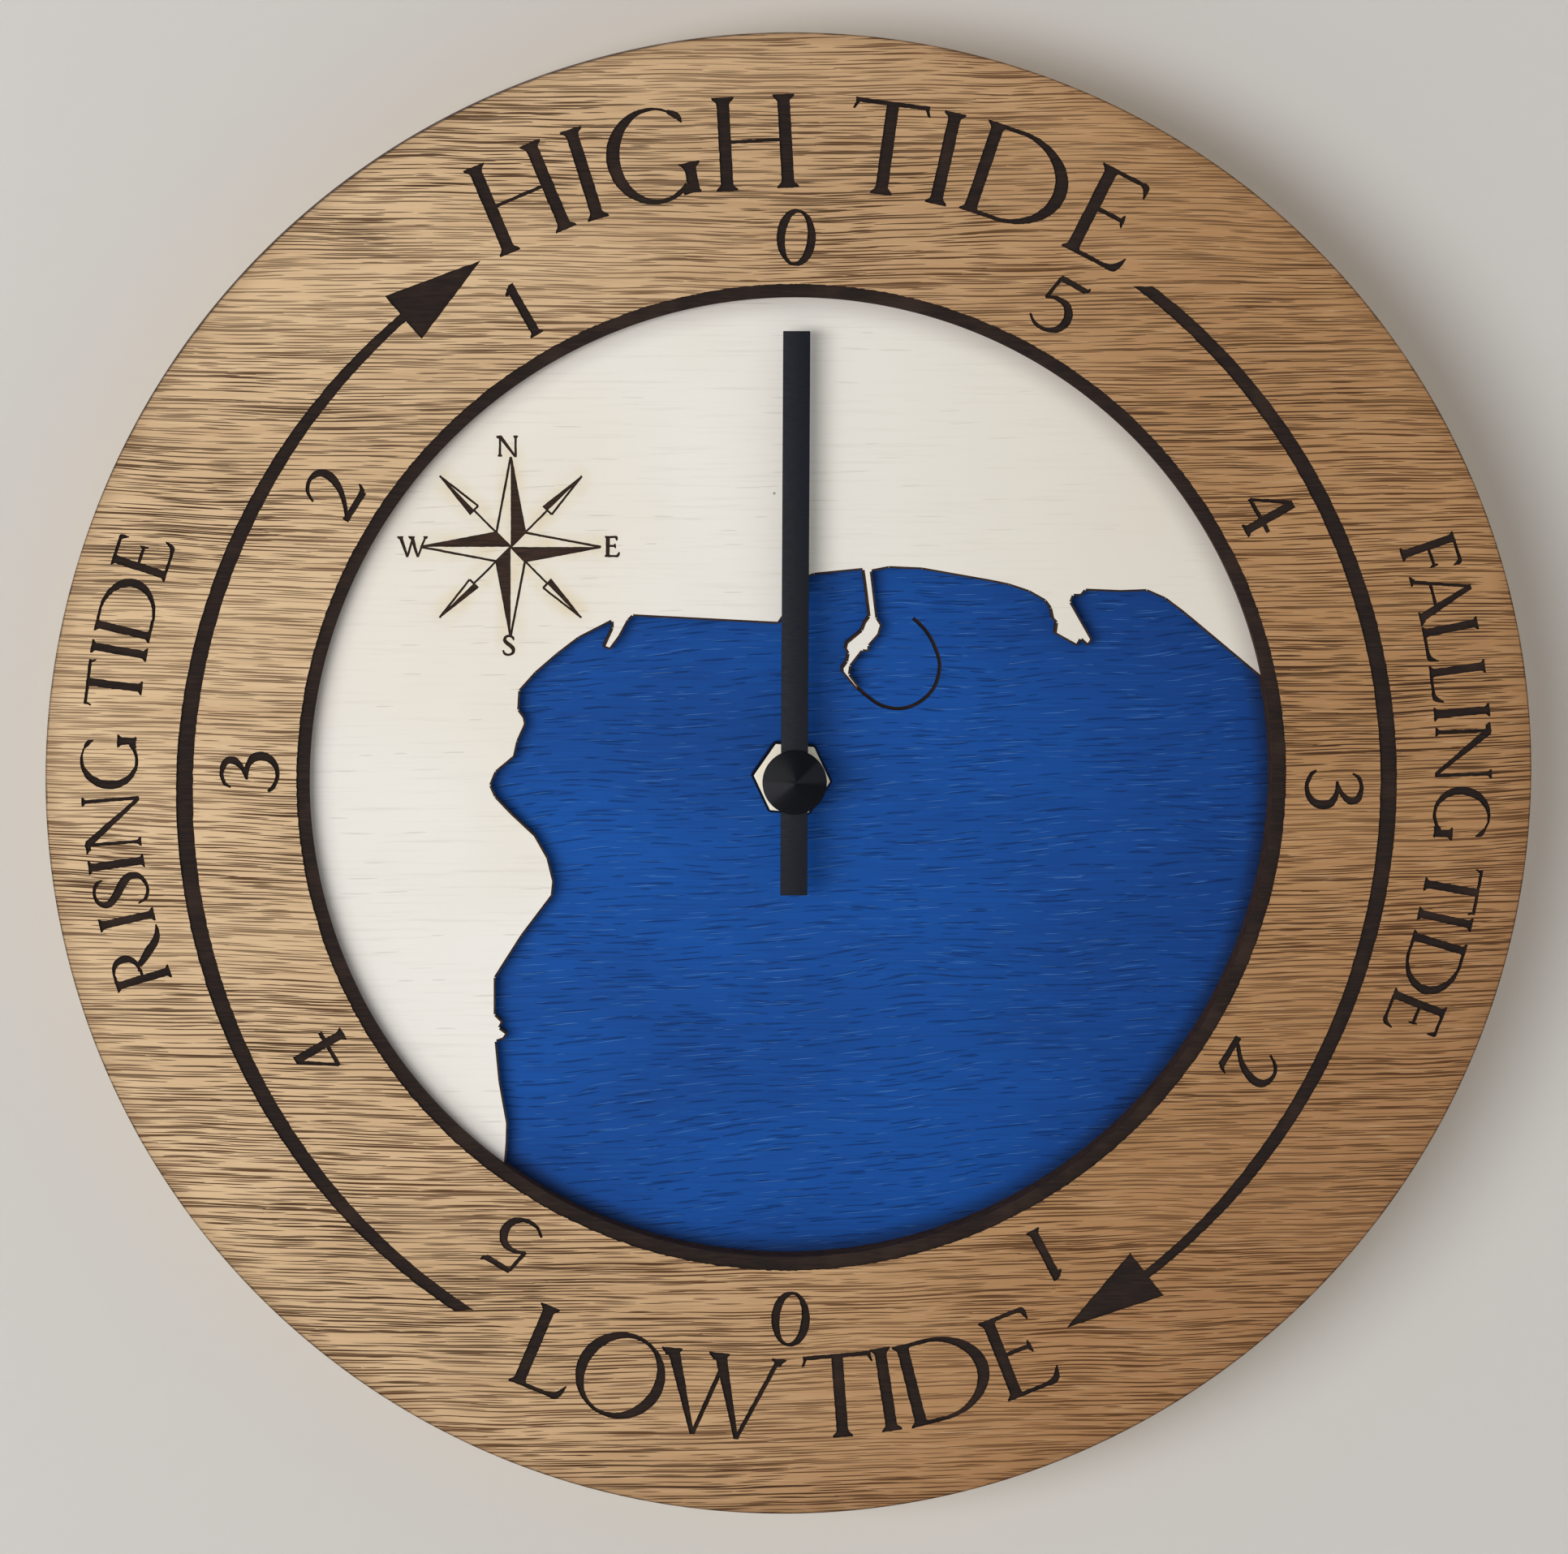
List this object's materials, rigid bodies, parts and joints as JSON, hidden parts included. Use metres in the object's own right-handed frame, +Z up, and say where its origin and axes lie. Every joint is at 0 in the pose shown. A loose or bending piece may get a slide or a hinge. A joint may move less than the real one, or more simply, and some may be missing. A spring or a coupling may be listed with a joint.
{
  "type": "tide clock",
  "caption": "Round wall tide clock: engraved oak ring over a white land plate cut along a coastline, a blue sea plate, one black hand and a quartz movement behind.",
  "frame": {"origin": "on the arbor axis, in the flat rear face of the movement's case, which rests on the wall", "axes": "+X right, +Y into the wall, +Z up; the dial looks along -Y"},
  "size_m": [0.25, 0.0311, 0.25],
  "materials": {
    "oak": "oiled oak veneer, burnt engraving",
    "white_paint": "matt white paint on plywood",
    "blue_paint": "satin blue paint on plywood",
    "black_hand": "matt black",
    "bright_plate": "polished nickel",
    "brass": "turned",
    "black_case": "fine spark-eroded texture",
    "acetal": "moulded",
    "steel": "pressed sheet",
    "magnet": "sintered ferrite",
    "copper": "enamelled wire",
    "board": "solder mask",
    "black_resin": "potting resin",
    "can": "drawn can",
    "rubber": "matt",
    "battery_wrap": "plain printed sleeve"
  },
  "bodies": {
    "clock": {"dial_ring": "oak", "land_plate": "white_paint", "sea_plate": "blue_paint", "hex_nut": "bright_plate", "threaded_bush": "brass", "rubber_gasket": "rubber", "hanger": "steel", "case_front": "black_case", "case_back": "black_case", "middle_plate": "black_case", "train_bridge": "black_case", "battery_cell": "battery_wrap", "contact_positive": "steel", "contact_negative": "steel", "circuit_board": "board", "driver_chip": "black_resin", "quartz_crystal": "can", "stator": "steel", "coil_core": "steel", "coil_bobbin": "acetal", "coil_winding": "copper"},
    "hand": {"hour_wheel": "acetal", "hand_bush": "brass", "tide_hand": "black_hand", "hand_cap": "black_hand"},
    "setting_work": {"minute_wheel": "acetal", "setting_knob": "acetal"},
    "cannon": {"cannon_pinion": "acetal"},
    "rotor": {"rotor_pinion": "acetal", "rotor_magnet": "magnet"},
    "intermediate": {"intermediate_wheel": "acetal"},
    "second": {"second_wheel": "acetal"},
    "third": {"third_wheel": "acetal"},
    "centre": {"centre_wheel": "acetal"}
  },
  "joints": [
    {"name": "hand_turn", "type": "hinge", "parent": "clock", "child": "hand", "pos_m": [0, 0, 0], "axis": [0, 1, 0], "continuous": true},
    {"name": "setting_turn", "type": "hinge", "parent": "clock", "child": "setting_work", "pos_m": [-0.00875, 0, 0], "axis": [0, 1, 0], "continuous": true},
    {"name": "cannon_turn", "type": "hinge", "parent": "clock", "child": "cannon", "pos_m": [0, 0, 0], "axis": [0, 1, 0], "continuous": true},
    {"name": "rotor_turn", "type": "hinge", "parent": "clock", "child": "rotor", "pos_m": [-0.00355, 0, 0.01241], "axis": [0, 1, 0], "continuous": true},
    {"name": "intermediate_turn", "type": "hinge", "parent": "clock", "child": "intermediate", "pos_m": [-0.00355, 0, 0.00761], "axis": [0, 1, 0], "continuous": true},
    {"name": "second_turn", "type": "hinge", "parent": "clock", "child": "second", "pos_m": [0, 0, 0], "axis": [0, 1, 0], "continuous": true},
    {"name": "third_turn", "type": "hinge", "parent": "clock", "child": "third", "pos_m": [0.00773, 0, -0.00164], "axis": [0, 1, 0], "continuous": true},
    {"name": "centre_turn", "type": "hinge", "parent": "clock", "child": "centre", "pos_m": [0, 0, 0], "axis": [0, 1, 0], "continuous": true}
  ],
  "couplings": [
    {"joint": "setting_turn", "follows": "hand_turn", "ratio": -4},
    {"joint": "cannon_turn", "follows": "hand_turn", "ratio": 12},
    {"joint": "intermediate_turn", "follows": "rotor_turn", "ratio": -0.2},
    {"joint": "second_turn", "follows": "rotor_turn", "ratio": 0.033333},
    {"joint": "third_turn", "follows": "rotor_turn", "ratio": -0.0044444},
    {"joint": "centre_turn", "follows": "rotor_turn", "ratio": 0.00055556}
  ]
}
